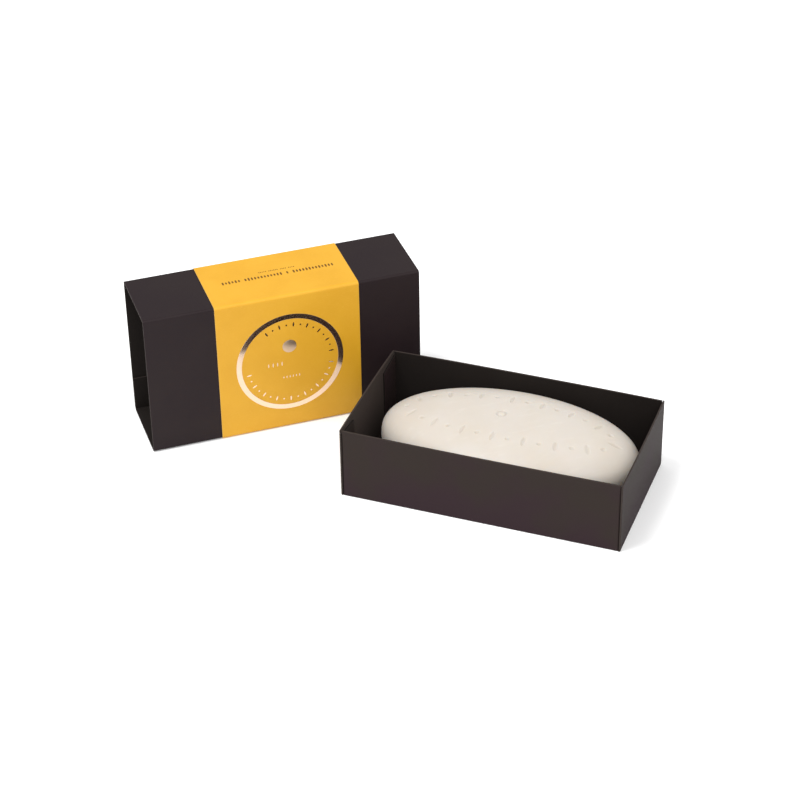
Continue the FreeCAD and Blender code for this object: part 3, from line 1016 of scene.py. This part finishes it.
printRows = dict(thick=0.012 * mm, lift=0.004 * mm, rows=(
    dict(name="printRowWide", count=35, x=1.0 * mm, y=0.0 * mm, length=44.0 * mm, tall=2.5 * mm,
         low=1.4 * mm, wide=0.75 * mm, gaps=(6, 19, 21), seed=4),
    dict(name="printRowFine", count=22, x=1.4 * mm, y=3.4 * mm, length=14.0 * mm, tall=0.9 * mm,
         low=0.6 * mm, wide=0.36 * mm, gaps=(5, 12, 17), seed=7)))
printHeight = bandHigh.z - bandFold["inset"] + printRows["lift"]
for row in printRows["rows"]:
    place = Matrix.Translation((bandMiddle.x + row["x"], bandMiddle.y + row["y"], printHeight))
    growRow(row, printRows, brownInk, place)
print("marks grown")


# floor, light and camera

def floorFinish(look):
    material, kit, shader = startFinish("paleSweep")
    clouds = kit.grain(kit.onObject(), look["cloudScale"], 2.0)
    colour = kit.blendColours(clouds, look["pale"], look["paler"])
    roughness = look["roughness"] + clouds * look["cloudRough"]
    feed(kit, shader, {"Base Color": colour, "Roughness": roughness}, {"Specular IOR Level": look["shine"]})
    return material


floorLook = dict(
    pale=(0.96, 0.96, 0.96), paler=(0.98, 0.98, 0.98), cloudScale=3.0, roughness=0.75, cloudRough=0.1,
    shine=0.1, half=3.0, below=0.02 * mm)
half, floorZ = floorLook["half"], cadLow.z - floorLook["below"]
floorCorners = [(x * half, y * half, floorZ) for x, y in ((-1, -1), (1, -1), (1, 1), (-1, 1))]
floor = meshObject("studioFloor", floorCorners, [(0, 1, 2, 3)], [floorFinish(floorLook)], smoothAngle=None)

studio = dict(air=0.76, airColour=(1.0, 1.0, 1.0), lights=(
    dict(name="keyBox", power=10.5, size=0.45, offset=(-0.48, -0.02, 1.17)),
    dict(name="frontBox", power=12.8, size=1.0, offset=(-0.16, -1.10, 1.12))))
world = bpy.data.worlds.new("studioAir")
world.use_nodes = True
bpy.context.scene.world = world
sky = world.node_tree.nodes["Background"]
sky.inputs["Color"].default_value = (*studio["airColour"], 1.0)
sky.inputs["Strength"].default_value = studio["air"]

centre = (cadLow + cadHigh) / 2
for light in studio["lights"]:
    box = bpy.data.lights.new(light["name"], "AREA")
    box.shape = "SQUARE"
    box.size = light["size"]
    box.energy = light["power"]
    boxObject = link(bpy.data.objects.new(light["name"], box))
    boxObject.location = centre + Vector(light["offset"])
    boxObject.rotation_euler = (centre - boxObject.location).to_track_quat("-Z", "Y").to_euler()

bpy.context.scene.view_settings.view_transform = "Standard"
bpy.context.scene.view_settings.look = "None"

shot = dict(
    lens=108.0, sensor=36.0, nearest=0.01, furthest=20.0, distance=0.9646, pitch=34.13, yaw=17.86,
    roll=-1.0, aim=(-0.0198, 0.0646, 0.0))
pitch, yaw = math.radians(shot["pitch"]), math.radians(shot["yaw"])
back = Vector((-math.cos(pitch) * math.sin(yaw), -math.cos(pitch) * math.cos(yaw), math.sin(pitch)))
roll = Matrix.Rotation(math.radians(shot["roll"]), 3, "Z").to_quaternion()
camera = bpy.data.cameras.new("shot")
camera.lens = shot["lens"]
camera.sensor_width = shot["sensor"]
camera.clip_start, camera.clip_end = shot["nearest"], shot["furthest"]
cameraObject = link(bpy.data.objects.new("shot", camera))
cameraObject.location = Vector(shot["aim"]) + back * shot["distance"]
cameraObject.rotation_mode = "QUATERNION"
cameraObject.rotation_quaternion = (-back).to_track_quat("-Z", "Y") @ roll
bpy.context.scene.camera = cameraObject
print("stage set")

bpy.context.view_layer.update()
